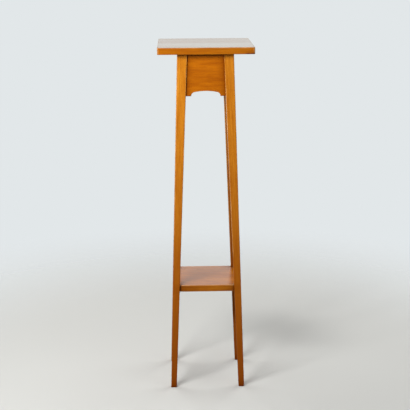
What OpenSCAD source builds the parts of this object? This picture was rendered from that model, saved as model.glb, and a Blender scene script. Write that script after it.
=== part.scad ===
// Tall square plant stand in lacquered hardwood: a board top on four splayed and
// tapered legs, four deep aprons with an arched lower edge, and a notched shelf.
// The origin is on the floor at the centre of the stand. +Z is up and -Y is the front.

/* [Whole stand] */
// Height from the floor to the top surface
stand_h = 1016; // [900:1:1120]

/* [Top board] */
// Width and depth of the square top
top_w = 270; // [220:1:340]
// Thickness of the top
top_t = 19; // [16:0.5:28]
// Radius that the arrises of the top are eased to
top_arris_r = 2.5; // [1:0.1:6]

/* [Legs] */
// Width over the outsides of the legs, right under the top
legs_top_spread = 159; // [145:1:200]
// Width over the outsides of the legs, on the floor
legs_foot_spread = 219; // [200:1:260]
// Side of the square leg, right under the top
leg_top_w = 28; // [25:0.5:34]
// Side of the square leg, on the floor
leg_foot_w = 16.5; // [14:0.5:24]
// How far each long arris of a leg is taken back, measured along one side
leg_arris = 1.5; // [0.5:0.1:3]

/* [Aprons] */
// Height of an apron, from its lower edge to the top board
apron_h = 123; // [100:1:160]
// Thickness of an apron
apron_t = 14; // [12:0.5:17]
// Distance from the outside of a leg in to the face of the apron
apron_setback = 4; // [2:0.5:6]
// Width of the arch in the lower edge of an apron
arch_span = 83; // [60:1:94]
// Height of the arch at its crown
arch_rise = 14.5; // [12.5:0.5:18]
// Radius of the tight curve at each end of the arch
arch_end_r = 11.5; // [5:0.5:12]

/* [Shelf] */
// Height from the floor to the upper face of the shelf
shelf_z = 316; // [150:1:600]
// Thickness of the shelf
shelf_t = 19; // [14:0.5:25]
// Distance from the outside of the legs in to the edge of the shelf, level with its upper face
shelf_setback = 6.5; // [3:0.5:9]
// Radius that the arrises of the shelf are eased to
shelf_arris_r = 1.5; // [0.8:0.1:3]
// Gap left round each leg where it passes through its notch
notch_gap = 0.1; // [0.05:0.05:0.3]

/* [Apron dowels] */
// Number of dowels in one joint
apron_dowel_count = 3; // [2:1:4]
// Diameter of a dowel between a leg and an apron
apron_dowel_d = 8; // [6:0.5:9]
// Length of dowel that is glued into the leg
apron_dowel_in_leg = 11.5; // [9:0.5:16]
// Length of dowel that is glued into the end of the apron
apron_dowel_in_apron = 20; // [14:1:26]
// Distance from the lower edge of the front apron up to its lowest dowel
apron_dowel_low = 24; // [22:1:30]
// Distance from the top board down to the highest dowel of the side aprons
apron_dowel_high = 13; // [8:1:20]
// Wood left between the front apron's dowels and the side apron's, where they pass in the leg
apron_dowel_web = 2; // [1:0.5:4]

/* [Shelf dowels] */
// Diameter of a dowel between a leg and the shelf
shelf_dowel_d = 6; // [4:0.5:8]
// Length of dowel that is glued into the leg
shelf_dowel_in_leg = 9; // [6:0.5:12]
// Length of dowel that is glued into the shelf
shelf_dowel_in_shelf = 13; // [8:1:30]

/* [Dowel fit] */
// Chamfer on each end of a dowel
dowel_chamfer = 0.8; // [0.3:0.1:1.5]
// Thickness of the glue round a dowel
dowel_glue = 0.05; // [0.03:0.01:0.1]
// Depth that a dowel hole has to spare at its bottom
dowel_spare = 0.6; // [0.4:0.1:1.5]

/* [Corner blocks] */
// Width of the block, from the inner arris of the leg to its long face
block_w = 16; // [13:0.5:24]
// Height of the block
block_h = 24; // [16:1:40]

/* [Top screws] */
// Diameter of the screw's shank
screw_d = 4.2; // [3:0.1:5]
// Diameter of the countersunk head
screw_head_d = 8; // [7:0.1:10]
// Length of screw that goes into the top
screw_in_top = 10; // [7:0.5:13]
// Length of the screw's point
screw_point = 5; // [2:0.5:6]
// Width of the slot in the head
screw_slot_w = 1.1; // [0.6:0.1:1.6]
// Depth of the slot in the head
screw_slot_depth = 1.3; // [0.6:0.1:1.6]
// Gap between the screw and its hole
screw_gap = 0.05; // [0.03:0.01:0.2]

/* [Hidden] */

$fn = 64;

LEFT = -1;
RIGHT = 1;
FRONT = -1;
BACK = 1;

// Quarter turns, seen from above, that bring the back apron to each side of the stand
TURNS_TO_BACK = 0;
TURNS_TO_LEFT = 1;
TURNS_TO_FRONT = 2;
TURNS_TO_RIGHT = 3;

top_colour = [0.80, 0.50, 0.20];
leg_colour = [0.82, 0.49, 0.14];
apron_colour = [0.74, 0.40, 0.08];
shelf_colour = [0.70, 0.42, 0.16];
block_colour = [0.86, 0.72, 0.48];
dowel_colour = [0.80, 0.64, 0.42];
steel_colour = [0.55, 0.55, 0.56];

// Length of a cut or an outline that has to pass right through the stand
through = 2 * top_w + legs_foot_spread;

leg_h = stand_h - top_t;
apron_z = leg_h - apron_h;
shelf_mid_z = shelf_z - shelf_t / 2;
block_z = leg_h - block_h;

// Distance from the middle of the stand to the outside of a leg, at height z
function leg_out(z) = (legs_foot_spread + (legs_top_spread - legs_foot_spread) * z / leg_h) / 2;

// Side of the square leg, at height z
function leg_side(z) = leg_foot_w + (leg_top_w - leg_foot_w) * z / leg_h;

// Distance from the middle of the stand to the inside of a leg, at height z
function leg_in(z) = leg_out(z) - leg_side(z);

// Distance from the middle of the stand to the outer and to the inner face of an apron, at height z
function apron_out(z) = leg_out(z) - apron_setback;
function apron_in(z) = apron_out(z) - apron_t;

// The crown of the arch is one wide curve that runs smoothly into the two end curves
arch_end_x = arch_span / 2 - arch_end_r;
crown_r = (arch_end_x ^ 2 + arch_rise ^ 2 - arch_end_r ^ 2) / (2 * (arch_rise - arch_end_r));
crown_meets_x = arch_end_x * crown_r / (crown_r - arch_end_r);

// The side aprons' dowels sit a little higher than the others, so that they pass them in the leg
side_dowel_rise = apron_dowel_d + 2 * dowel_glue + apron_dowel_web;
apron_dowel_pitch =
    (apron_h - apron_dowel_low - apron_dowel_high - side_dowel_rise) / (apron_dowel_count - 1);

// Heights of the dowels at the end of an apron; an odd number of quarter turns is a side apron
function apron_dowel_heights(turns) = [
    for (i = [0 : apron_dowel_count - 1])
        apron_z + apron_dowel_low + i * apron_dowel_pitch + (turns % 2) * side_dowel_rise
];

shelf_w = 2 * (leg_out(shelf_z) - shelf_setback);

// The shelf dowel sits in the middle of the notch, on the face that looks sideways
shelf_dowel_y = (leg_in(shelf_mid_z) + shelf_w / 2) / 2;

// The long face of a corner block crosses the diagonal of the stand here, in X and in Y
block_face_at = leg_in(block_z) - block_w / sqrt(2);
screw_at = (leg_in(block_z) + block_face_at) / 2;
screw_length = block_h + screw_in_top;

// Puts what is made at the back right corner at the corner of the given sides
module at_corner(side_x, side_y) {
    mirror([side_x == LEFT ? 1 : 0, 0, 0])
        mirror([0, side_y == FRONT ? 1 : 0, 0])
            children();
}

module at_each_corner() {
    for (side_x = [LEFT, RIGHT], side_y = [FRONT, BACK])
        at_corner(side_x, side_y) children();
}

// Swaps X and Y, which turns a back apron's joint into the side apron's joint in the same leg
module swap_xy() mirror([1, -1, 0]) children();

// Carries an outline drawn in X and Z right through the stand, along Y
module through_y() rotate([90, 0, 0]) linear_extrude(height = through, center = true) children();

// Carries an outline drawn in Y and Z right through the stand, along X
module through_x() rotate([90, 0, 90]) linear_extrude(height = through, center = true) children();

// A rectangle round the origin whose corners have the radius r
module rounded_rectangle(width, height, r) {
    square([width - 2 * r, height], center = true);
    square([width, height - 2 * r], center = true);
    for (x = [-1, 1], y = [-1, 1])
        translate([x * (width / 2 - r), y * (height / 2 - r)]) circle(r = r);
}

// A square board with eased arrises: what its front, side and plan outlines have in common
module eased_board(width, thickness, r) {
    intersection() {
        through_y() rounded_rectangle(width, thickness, r);
        through_x() rounded_rectangle(width, thickness, r);
        linear_extrude(height = 2 * thickness, center = true) rounded_rectangle(width, width, r);
    }
}

// The outline of a leg from the height low to the height high, larger by grow on its two sides
module leg_outline(low, high, grow) {
    polygon([
        [leg_in(low) - grow, low],
        [leg_out(low) + grow, low],
        [leg_out(high) + grow, high],
        [leg_in(high) - grow, high]
    ]);
}

// The leg of the back right corner as it is first sawn, with sharp arrises
module leg_blank(low = 0, high = leg_h, grow = 0) {
    intersection() {
        through_y() leg_outline(low, high, grow);
        through_x() leg_outline(low, high, grow);
    }
}

// The leg seen along one diagonal of its section, with the outer and the inner arris taken back
module leg_without_outer_and_inner_arris() {
    rotate([0, 0, 45]) through_y() polygon([
        for (z = [0, leg_h]) [(2 * leg_in(z) + leg_arris) / sqrt(2), z],
        for (z = [leg_h, 0]) [(2 * leg_out(z) - leg_arris) / sqrt(2), z]
    ]);
}

// The leg seen along the other diagonal, with the two arrises beside the aprons taken back
module leg_without_side_arrises() {
    rotate([0, 0, -45]) through_y() polygon([
        for (z = [0, leg_h]) [(leg_arris - leg_side(z)) / sqrt(2), z],
        for (z = [leg_h, 0]) [(leg_side(z) - leg_arris) / sqrt(2), z]
    ]);
}

// A dowel along X, with chamfered ends, that reaches back behind the origin and ahead of it
module dowel(d, back, ahead) {
    r = d / 2;
    rotate([0, 90, 0]) rotate_extrude() polygon([
        [0, -back],
        [r - dowel_chamfer, -back],
        [r, -back + dowel_chamfer],
        [r, ahead - dowel_chamfer],
        [r - dowel_chamfer, ahead],
        [0, ahead]
    ]);
}

// The hole for that dowel, with room for glue round it and past both its ends
module dowel_hole(d, back, ahead) {
    translate([-back - dowel_spare, 0, 0]) rotate([0, 90, 0])
        cylinder(d = d + 2 * dowel_glue, h = back + ahead + 2 * dowel_spare);
}

// Puts what points along X at each dowel where the back apron's right end meets the leg
module at_apron_dowels(turns) {
    for (z = apron_dowel_heights(turns))
        translate([leg_in(z), apron_out(z) - apron_t / 2, z]) children();
}

module apron_dowel_holes(turns) {
    at_apron_dowels(turns) dowel_hole(apron_dowel_d, apron_dowel_in_apron, apron_dowel_in_leg);
}

// Puts what points along X where the shelf dowel enters the leg of the back right corner
module at_shelf_dowel() {
    translate([leg_in(shelf_mid_z), shelf_dowel_y, shelf_mid_z]) children();
}

module shelf_dowel_hole() {
    at_shelf_dowel() dowel_hole(shelf_dowel_d, shelf_dowel_in_shelf, shelf_dowel_in_leg);
}

// The screw's outline from its head up to its point, larger by grow all round
module screw_outline(grow) {
    head_h = (screw_head_d - screw_d) / 2;
    polygon([
        [0, 0],
        [screw_head_d / 2 + grow, 0],
        [screw_d / 2 + grow, head_h],
        [screw_d / 2 + grow, screw_length - screw_point],
        [0, screw_length + grow]
    ]);
}

// Puts what points up the Z axis on the underside of the block in the back right corner
module at_screw() translate([screw_at, screw_at, block_z]) children();

module screw_hole() {
    at_screw() rotate_extrude() screw_outline(screw_gap);
}

module top_board() {
    color(top_colour) difference() {
        translate([0, 0, leg_h + top_t / 2]) eased_board(top_w, top_t, top_arris_r);
        at_each_corner() screw_hole();
    }
}

module leg(side_x, side_y) {
    color(leg_colour) at_corner(side_x, side_y) difference() {
        intersection() {
            leg_blank();
            leg_without_outer_and_inner_arris();
            leg_without_side_arrises();
        }
        apron_dowel_holes(TURNS_TO_BACK);
        swap_xy() apron_dowel_holes(TURNS_TO_RIGHT);
        shelf_dowel_hole();
    }
}

// The opening that is sawn out of an apron, drawn with the apron's lower edge at height 0
module arch_outline() {
    intersection() {
        translate([0, arch_rise - crown_r]) circle(r = crown_r);
        translate([-crown_meets_x, -arch_end_r])
            square([2 * crown_meets_x, arch_end_r + 2 * arch_rise]);
    }
    for (side = [LEFT, RIGHT])
        translate([side * arch_end_x, 0]) circle(r = arch_end_r);
}

// An apron leans with the legs and fits between their inner faces
module apron(turns) {
    color(apron_colour) rotate([0, 0, 90 * turns]) difference() {
        intersection() {
            through_y() difference() {
                polygon([
                    [-leg_in(apron_z), apron_z],
                    [leg_in(apron_z), apron_z],
                    [leg_in(leg_h), leg_h],
                    [-leg_in(leg_h), leg_h]
                ]);
                translate([0, apron_z]) arch_outline();
            }
            through_x() polygon([
                [apron_in(apron_z), apron_z],
                [apron_out(apron_z), apron_z],
                [apron_out(leg_h), leg_h],
                [apron_in(leg_h), leg_h]
            ]);
        }
        for (side = [LEFT, RIGHT])
            at_corner(side, BACK) apron_dowel_holes(turns);
    }
}

module apron_dowels(turns) {
    color(dowel_colour) rotate([0, 0, 90 * turns])
        for (side = [LEFT, RIGHT]) at_corner(side, BACK) at_apron_dowels(turns)
            dowel(apron_dowel_d, apron_dowel_in_apron, apron_dowel_in_leg);
}

// The shelf is a square board whose corners are cut out to let the legs pass
module shelf() {
    color(shelf_colour) difference() {
        translate([0, 0, shelf_mid_z]) eased_board(shelf_w, shelf_t, shelf_arris_r);
        at_each_corner() {
            leg_blank(shelf_z - 2 * shelf_t, shelf_z + shelf_t, notch_gap);
            shelf_dowel_hole();
        }
    }
}

module shelf_dowels() {
    color(dowel_colour) at_each_corner() at_shelf_dowel()
        dowel(shelf_dowel_d, shelf_dowel_in_shelf, shelf_dowel_in_leg);
}

// The outline of the space between two aprons, from the middle of the stand out to one of them
module inside_apron_outline() {
    polygon([
        [0, block_z],
        [apron_in(block_z), block_z],
        [apron_in(leg_h), leg_h],
        [0, leg_h]
    ]);
}

// A triangular block fills the corner of two aprons and is cut away round the inside of the leg
module corner_block(side_x, side_y) {
    corner = apron_in(block_z);
    far_end = 2 * block_face_at - corner;
    color(block_colour) at_corner(side_x, side_y) difference() {
        intersection() {
            through_y() inside_apron_outline();
            through_x() inside_apron_outline();
            translate([0, 0, block_z]) linear_extrude(height = block_h)
                polygon([[corner, far_end], [corner, corner], [far_end, corner]]);
        }
        leg_blank(apron_z, leg_h + top_t);
        screw_hole();
    }
}

module top_screws() {
    color(steel_colour) at_each_corner() at_screw() difference() {
        rotate_extrude() screw_outline(0);
        translate([-screw_head_d, -screw_slot_w / 2, -screw_slot_depth])
            cube([2 * screw_head_d, screw_slot_w, 2 * screw_slot_depth]);
    }
}

top_board();
leg(LEFT, FRONT);  // leg_front_left
leg(RIGHT, FRONT);  // leg_front_right
leg(LEFT, BACK);  // leg_back_left
leg(RIGHT, BACK);  // leg_back_right
apron(TURNS_TO_FRONT);  // apron_front
apron(TURNS_TO_BACK);  // apron_back
apron(TURNS_TO_LEFT);  // apron_left
apron(TURNS_TO_RIGHT);  // apron_right
shelf();
corner_block(LEFT, FRONT);  // corner_block_front_left
corner_block(RIGHT, FRONT);  // corner_block_front_right
corner_block(LEFT, BACK);  // corner_block_back_left
corner_block(RIGHT, BACK);  // corner_block_back_right
top_screws();
apron_dowels(TURNS_TO_FRONT);  // dowels_apron_front
apron_dowels(TURNS_TO_BACK);  // dowels_apron_back
apron_dowels(TURNS_TO_LEFT);  // dowels_apron_left
apron_dowels(TURNS_TO_RIGHT);  // dowels_apron_right
shelf_dowels();  // dowels_shelf
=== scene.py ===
# %% [markdown]
# # A tall plant stand in amber-lacquered hardwood
# The stand is a square top on four splayed legs, with an arched apron on each side and a
# small shelf between the legs. Its construction comes packed as a frame of solids, which
# stays where it is. This notebook gives every wooden piece the softened arrises, the grain
# and the old lacquer of the real one. It works in metres, with +Z up and -Y in front.

import bpy
import numpy as np
from mathutils import Matrix, Vector


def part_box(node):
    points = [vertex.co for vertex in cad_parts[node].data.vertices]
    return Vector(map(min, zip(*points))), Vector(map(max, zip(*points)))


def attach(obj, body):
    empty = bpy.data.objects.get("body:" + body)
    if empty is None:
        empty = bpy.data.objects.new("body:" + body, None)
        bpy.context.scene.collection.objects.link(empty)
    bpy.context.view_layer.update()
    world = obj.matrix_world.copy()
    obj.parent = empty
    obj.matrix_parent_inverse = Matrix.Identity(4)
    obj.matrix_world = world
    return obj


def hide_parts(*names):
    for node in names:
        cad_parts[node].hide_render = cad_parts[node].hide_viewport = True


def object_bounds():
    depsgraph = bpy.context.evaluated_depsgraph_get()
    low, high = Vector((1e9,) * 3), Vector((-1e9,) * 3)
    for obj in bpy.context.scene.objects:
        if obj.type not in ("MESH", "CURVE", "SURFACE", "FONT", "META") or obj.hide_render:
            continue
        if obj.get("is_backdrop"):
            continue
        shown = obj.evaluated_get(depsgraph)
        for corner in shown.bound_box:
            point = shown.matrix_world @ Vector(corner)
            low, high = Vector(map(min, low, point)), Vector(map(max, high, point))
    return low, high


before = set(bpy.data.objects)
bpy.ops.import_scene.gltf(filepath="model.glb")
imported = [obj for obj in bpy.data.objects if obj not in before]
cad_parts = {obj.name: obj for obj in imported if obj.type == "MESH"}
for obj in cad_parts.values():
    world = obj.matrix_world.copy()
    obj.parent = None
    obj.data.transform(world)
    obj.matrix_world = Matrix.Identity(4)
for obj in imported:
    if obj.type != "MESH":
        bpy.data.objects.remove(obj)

cad_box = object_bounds()
print("frame:", len(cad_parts), "nodes")

# %% [markdown]
# ## Sizes
# A piece that takes the place of a solid has to fit its neighbours, so its sizes are read
# off the solids. A leg tapers and leans in a straight line, so its reach at the floor and
# at the top is enough to know it at any height. What a solid can't tell, such as how soft
# an arris has worn, is a named value here.

# %% Read the sizes off the solids
MM = 0.001
HAIR = 0.01 * MM


def reach_at(node, height, axis):
    """How near to the stand's middle a solid's points at that height come, and how far out."""
    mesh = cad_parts[node].data
    points = np.zeros(len(mesh.vertices) * 3, np.float32)
    mesh.vertices.foreach_get("co", points)
    points = points.reshape(-1, 3).astype(float)
    distance = np.abs(points[np.abs(points[:, 2] - height) < HAIR, axis])
    return distance.min(), distance.max()


top_low, top_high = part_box("top_board")
top_half = top_high.x
leg_top = top_low.z
foot_in, foot_out = reach_at("leg_front_left", 0.0, 0)
head_in, head_out = reach_at("leg_front_left", leg_top, 0)
apron_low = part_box("apron_front")[0].z
apron_in_low, apron_out_low = reach_at("apron_front", apron_low, 1)
apron_t = apron_out_low - apron_in_low
shelf_low, shelf_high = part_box("shelf")
shelf_half = shelf_high.x


def leg_out(z):
    """A straight line from the outside of the leg on the floor to its outside under the top."""
    return foot_out + (head_out - foot_out) * z / leg_top


def leg_in(z):
    """The same line for the inside of the leg."""
    return foot_in + (head_in - foot_in) * z / leg_top


apron_setback = leg_out(apron_low) - apron_out_low
print("stand height %.4f, top %.4f wide" % (top_high.z, 2 * top_half))
print("leg side %.4f on the floor, %.4f under the top" % (foot_out - foot_in, head_out - head_in))
print("apron %.4f thick, set back %.4f" % (apron_t, apron_setback))

# %% [markdown]
# ## The camera
# The photograph was taken from a little above the top, straight at the front, with a long
# lens. The place and the angles below were found by matching the stand's edges. A new
# camera looks straight down, along its own -Z. It is rolled about that line, tipped up
# until it looks a little below level, turned to the right and carried to its place.

# %% Place the camera
CAMERA_AT = (-0.0867, -3.0286, 1.3176)
CAMERA_DOWN = np.radians(14.463)
CAMERA_RIGHTWARD = np.radians(1.602)
CAMERA_ROLL = np.radians(-0.337)
FOCAL_PIXELS = 1050.7
FRAME_PIXELS = 410
SENSOR_MM = 36.0


def add_object(name, data):
    """A new object in the scene, at the origin."""
    made = bpy.data.objects.new(name, data)
    bpy.context.scene.collection.objects.link(made)
    return made


camera = add_object("camera", bpy.data.cameras.new("camera"))
camera.data.lens = FOCAL_PIXELS * SENSOR_MM / FRAME_PIXELS
camera.data.sensor_width = SENSOR_MM
camera.matrix_world = (Matrix.Translation(CAMERA_AT) @ Matrix.Rotation(-CAMERA_RIGHTWARD, 4, "Z")
                       @ Matrix.Rotation(np.pi / 2 - CAMERA_DOWN, 4, "X")
                       @ Matrix.Rotation(CAMERA_ROLL, 4, "Z"))
bpy.context.scene.camera = camera
print("lens %.1f mm" % camera.data.lens)

# %% [markdown]
# ## From loops of points to a closed piece
# Each wooden piece is a stack of loops: a leg is a stack of rounded squares, a board is a
# stack of outlines that draw in at its arrises, and an apron is a row of cross-sections.
# A stack is one array with a row for each loop. Neighbouring loops are joined by quads and
# the first and last loop are closed by one flat face each. The sign of the enclosed volume
# tells whether the faces look outwards.

# %% Turn a stack of loops into a mesh
def raised(flat, third):
    """Points (loops, around, 2) with a third coordinate, of one value a loop or a point."""
    third = np.broadcast_to(third[..., None], (*flat.shape[:2], 1))
    return np.concatenate([flat, third], axis=-1)


def enclosed_volume(points, faces):
    """The sum over all triangles of a fan in each face of a . (b x c) / 6."""
    total = 0.0
    for size in {len(face) for face in faces}:
        corner = points[np.array([face for face in faces if len(face) == size])]
        for k in range(1, size - 1):
            a, b, c = corner[:, 0], corner[:, k], corner[:, k + 1]
            total += np.einsum("ij,ij->i", a, np.cross(b, c)).sum() / 6
    return total


def stack_faces(loops, around):
    """Quads between neighbouring loops, each loop running on from its last point to its first,
    and one face at each end."""
    index = np.arange(loops * around).reshape(loops, around)
    onward = np.roll(index, -1, axis=1)
    quads = np.stack([index[:-1], onward[:-1], onward[1:], index[1:]], axis=-1).reshape(-1, 4)
    return quads.tolist() + [index[0, ::-1].tolist(), index[-1].tolist()]


def piece_from_stack(name, stack, notes):
    """A smooth-shaded object from a stack of loops (loops, around, 3). notes holds what the
    material needs to know at each point: numbers (loops, around) or directions (..., 3)."""
    points = stack.reshape(-1, 3)
    faces = stack_faces(*stack.shape[:2])
    if enclosed_volume(points, faces) < 0:
        faces = [face[::-1] for face in faces]
    mesh = bpy.data.meshes.new(name)
    mesh.from_pydata(points.tolist(), [], faces)
    for note, values in notes.items():
        kind, field = ("FLOAT_VECTOR", "vector") if values.ndim == 3 else ("FLOAT", "value")
        layer = mesh.attributes.new(note, kind, "POINT")
        layer.data.foreach_set(field, values.astype(np.float32).ravel())
    mesh.shade_smooth()
    mesh.validate()
    return add_object(name, mesh)


print("three loops of four points make", len(stack_faces(3, 4)), "faces")

# %% [markdown]
# ## Softened arrises
# No arris on an old piece of furniture is sharp or quite even. Sandpaper takes it down, and
# years of dusting and handling take a little more off here and there. So the radius
# wanders along each arris. A sum of three sine waves whose lengths don't divide into each
# other wanders without repeating, and gives the same result at every run.

# %% Waves that wander
WAVES = ((0.31, 0.5, 1.7), (0.117, 0.3, 4.1), (0.043, 0.2, 2.9))


def wander(along, seed):
    """Between -1 and 1: the sum of share * sin(2 pi * along / length + start * seed) over the
    waves, which give the length in metres, the share and the start of each."""
    return sum(share * np.sin(2 * np.pi * along / length + start * seed)
               for length, share, start in WAVES)


def fading(distance, length):
    """1 where the distance is 0, falling off by the same share over each stretch of length."""
    return np.exp(-np.abs(distance) / length)


def bell(distance, width):
    """exp(-(distance / width) squared)."""
    return np.exp(-(distance / width) ** 2)


def outside(value, low, high):
    """How far a value lies outside a range."""
    return np.maximum(np.maximum(value - high, low - value), 0.0)


print("the waves start at %.2f with seed 1" % wander(0.0, 1))

# %% [markdown]
# ## Loops round a square
# Legs and boards share one loop: a square with round corners, drawn in by an inset. The
# points of one corner are its arc, and on either side a few points that lie back along the
# straight sides, its holds. The nearest of these keep the flat faces flat under smooth
# shading. The other three corners are quarter turns of the first.

# %% Loops round a square
ARC_ANGLES = np.linspace(0, np.pi / 2, 7)
LEAST_R = 0.3 * MM
SOFT_EDGE = 1.4 * MM


def corner_pattern(holds):
    """For each point of the first corner: the direction from the arc's centre, and how far it
    lies back along the side before or after the arc. The holds are given in rising order."""
    run = len(holds)
    angle = np.pad(ARC_ANGLES, run, mode="edge")
    back = np.zeros((len(angle), 2))
    back[:run, 1] = holds[::-1]
    back[-run:, 0] = holds
    return np.stack([np.cos(angle), np.sin(angle)], -1), back


def turned(points, quarters):
    """Points (..., 2 or 3) after quarter turns about Z, each of which takes (x, y) to (-y, x)."""
    for _ in range(quarters):
        points = np.concatenate([-points[..., 1:2], points[..., :1], points[..., 2:]], axis=-1)
    return points


def square_loops(half, radius, inset, holds):
    """Point = (half - inset - r) * (1, 1) + r * direction - back, where r is the radius left
    after the inset, but never less than the least one, so that no two points meet. half,
    radius and inset are numbers, or arrays of one value a loop or a point."""
    direction, back = corner_pattern(holds)
    left = np.maximum(radius - inset, LEAST_R)
    whole = np.zeros((1, 4 * len(back)))
    centre, left, _ = np.broadcast_arrays(half - inset - left, left, whole)
    centre, left = (each.reshape(-1, 4, len(back), 1) for each in (centre, left))
    first = centre + left * direction - back
    return np.concatenate([turned(first[:, k], k) for k in range(4)], axis=1)


def arris_note(holds):
    """1 on the arcs of a loop, fading along the straight sides."""
    return np.tile(fading(corner_pattern(holds)[1].sum(axis=1), SOFT_EDGE), 4)


print("points on one rounded corner:", len(ARC_ANGLES))

# %% [markdown]
# ## The legs
# A leg is sawn square, tapered from the top down to the foot and planted at a slant. Its
# four sides stay flat, and its arrises are rounded. The stack of loops runs up the leg. It
# is close together at the two ends, where the loops draw in to ease the foot's rim, and
# evenly spaced between. Each leg comes from its own place in the plank, so the grain's
# coordinates start somewhere else on each.

# %% Shape the legs
LEG_ARRIS_R = 1.6 * MM
LEG_UNEVEN = 0.18
NEXT_ARRIS = 0.2
FOOT_ROUNDER = 0.35
FOOT_ROUNDED = 60 * MM
FOOT_EASE = 0.9 * MM
LEG_HOLDS = (0.3 * MM, 1.8 * MM, 4.3 * MM)
LEG_STEP = 12 * MM
END_LOOPS = np.array([0, 0.3, 0.9, 2.5, 5.5]) * MM
LOOPS_BESIDE = np.array([-9, -6, -4, -2.5, -1.2, 0.0, 1.2, 2.5, 4, 6, 9]) * MM
LEG_LOG = np.array([0.27, 0.048, 0.036])
NEXT_LEG_LOG = np.array([0.9, 0.006, -0.009])


def leg_heights():
    """Heights of the loops: an even run, with closer ones where a neighbour's edge meets the
    leg and at both ends, all rounded to a micrometre."""
    even = np.arange(LEG_STEP, leg_top - LEG_STEP / 2, LEG_STEP)
    meeting = [height + LOOPS_BESIDE for height in (shelf_low.z, shelf_high.z, apron_low)]
    every = np.concatenate([even, END_LOOPS, leg_top - END_LOOPS, *meeting])
    return np.unique(np.round(every, 6))


def leg_stack(sides, z, middle, half, seed):
    """Rounded squares stacked up the leg, each centred between the leg's inner and outer line.
    The radius wanders, and grows towards the floor."""
    ease = np.maximum(FOOT_EASE - z, 0) ** 2 / FOOT_EASE
    arris = np.repeat(np.arange(4.0), len(corner_pattern(LEG_HOLDS)[0]))[None, :]
    worn = LEG_UNEVEN * wander(z + NEXT_ARRIS * arris, seed + arris)
    worn = worn + FOOT_ROUNDER * fading(z, FOOT_ROUNDED)
    flat = square_loops(half, LEG_ARRIS_R * (1 + worn), ease, LEG_HOLDS)
    return raised((flat + middle[..., None]) * sides, z)


print("loops in a leg:", len(leg_heights()))

# %% [markdown]
# ## What a leg's finish needs to know
# A point that carries a few notes can tell its material what the eye would find there: bare end
# grain, a rubbed arris, a darker corner. They could be painted by hand, but worked out from
# distances they stay true when a size changes. Painted shade darkens the leg under the top, beside
# the aprons, round the shelf and on the two faces that look inwards, where its neighbours shade it,
# and the leg is also darker near the floor. The arrises above the shelf are rubbed pale, partly
# wear and partly a painted highlight, and those below it hardly at all.

# %% Note the painted shade and wear, and make the legs
# Reaches and shares of a leg's painted shade: under the top and by the shelf, beside the aprons,
# and on the faces that look inwards, where its neighbours shade it.
CORNER_SHADE_REACH = 4 * MM
LEG_JOINT_SHADE = 1.1 * MM
# How far up from the floor a leg is darker, and by how much.
LOW_LEG_DARK_REACH, LOW_LEG_DARK = 14 * MM, 0.8
INSIDE_SHADE = 0.35
ABOVE_SHELF_SHADE, ABOVE_SHELF_REACH = 0.25, 60 * MM
BELOW_SHELF_SHADE = 0.12
# Heights between which the arrises go from little to full pale rub, partly wear and partly a
# painted highlight.
RUBBED_AND_LIT_FROM, RUBBED_AND_LIT_TO, LEAST_RUBBED_AND_LIT = 0.2, 0.42, 0.2


def far_from_aprons(points):
    """How far each point lies from the nearest apron. An apron leans, so its slab is measured
    at the point's own height: outwards through its thickness, then along it past the legs."""
    height = points[..., 2]
    reach = np.abs(points[..., :2])
    outer = (leg_out(height) - apron_setback)[..., None]
    through = outside(reach, outer - apron_t, outer)
    along = np.maximum(reach - leg_in(height)[..., None], 0.0)
    below = np.maximum(apron_low - height, 0.0)
    return np.hypot((through + along[..., ::-1]).min(axis=-1), below)


def leg_notes(stack, offset, half, seed):
    """The grain runs up the leg, so its coordinates are the height and the offsets from the
    leg's own middle line, outwards, moved to the leg's place in the log."""
    height = stack[..., 2]
    grain = np.concatenate([stack[..., 2:], offset], -1) + LEG_LOG + NEXT_LEG_LOG * seed
    inside = offset.min(axis=-1) < -half + HAIR
    on_shelf = ABOVE_SHELF_SHADE * fading(height - shelf_high.z, ABOVE_SHELF_REACH)
    from_shelf = outside(stack, np.array(shelf_low), np.array(shelf_high))
    # Painted shade: darker on the inner faces, under the top, by the shelf and beside the aprons.
    # The last term makes the leg darker near the floor.
    nook = np.maximum.reduce([
        inside * np.where(height < shelf_high.z, BELOW_SHELF_SHADE, INSIDE_SHADE + on_shelf),
        fading(leg_top - height, CORNER_SHADE_REACH),
        fading(np.linalg.norm(from_shelf, axis=-1), CORNER_SHADE_REACH),
        fading(far_from_aprons(stack), LEG_JOINT_SHADE),
        LOW_LEG_DARK * fading(height, LOW_LEG_DARK_REACH),
    ])
    # The arris note carries the darker arris and the pale rub, partly a painted highlight; it is
    # low below the shelf and full above it.
    rubbed_and_lit = np.clip((height - RUBBED_AND_LIT_FROM) / (RUBBED_AND_LIT_TO - RUBBED_AND_LIT_FROM), LEAST_RUBBED_AND_LIT, 1.0)
    sawn = np.zeros_like(height)
    sawn[0] = sawn[-1] = 1.0
    return {"grain": grain, "edge": arris_note(LEG_HOLDS) * rubbed_and_lit, "nook": nook,
            "end_grain": sawn, "bare": sawn}


def make_leg(name, sides, seed):
    """A leg's stack with its notes. sides are 1 or -1, for right or left and back or front."""
    z = leg_heights()[:, None]
    middle = (leg_out(z) + leg_in(z)) / 2
    half = (leg_out(z) - leg_in(z)) / 2
    stack = leg_stack(sides, z, middle, half, seed)
    offset = stack[..., :2] * sides - middle[..., None]
    return piece_from_stack(name, stack, leg_notes(stack, offset, half, seed))


CORNERS = {"front_left": (-1, -1), "front_right": (1, -1), "back_left": (-1, 1),
           "back_right": (1, 1)}
legs = {}
for seed, (corner, sides) in enumerate(CORNERS.items(), start=1):
    legs["leg_" + corner] = make_leg("leg_wood_" + corner, sides, seed)
print("legs:", {name: len(leg.data.vertices) for name, leg in legs.items()})

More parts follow.
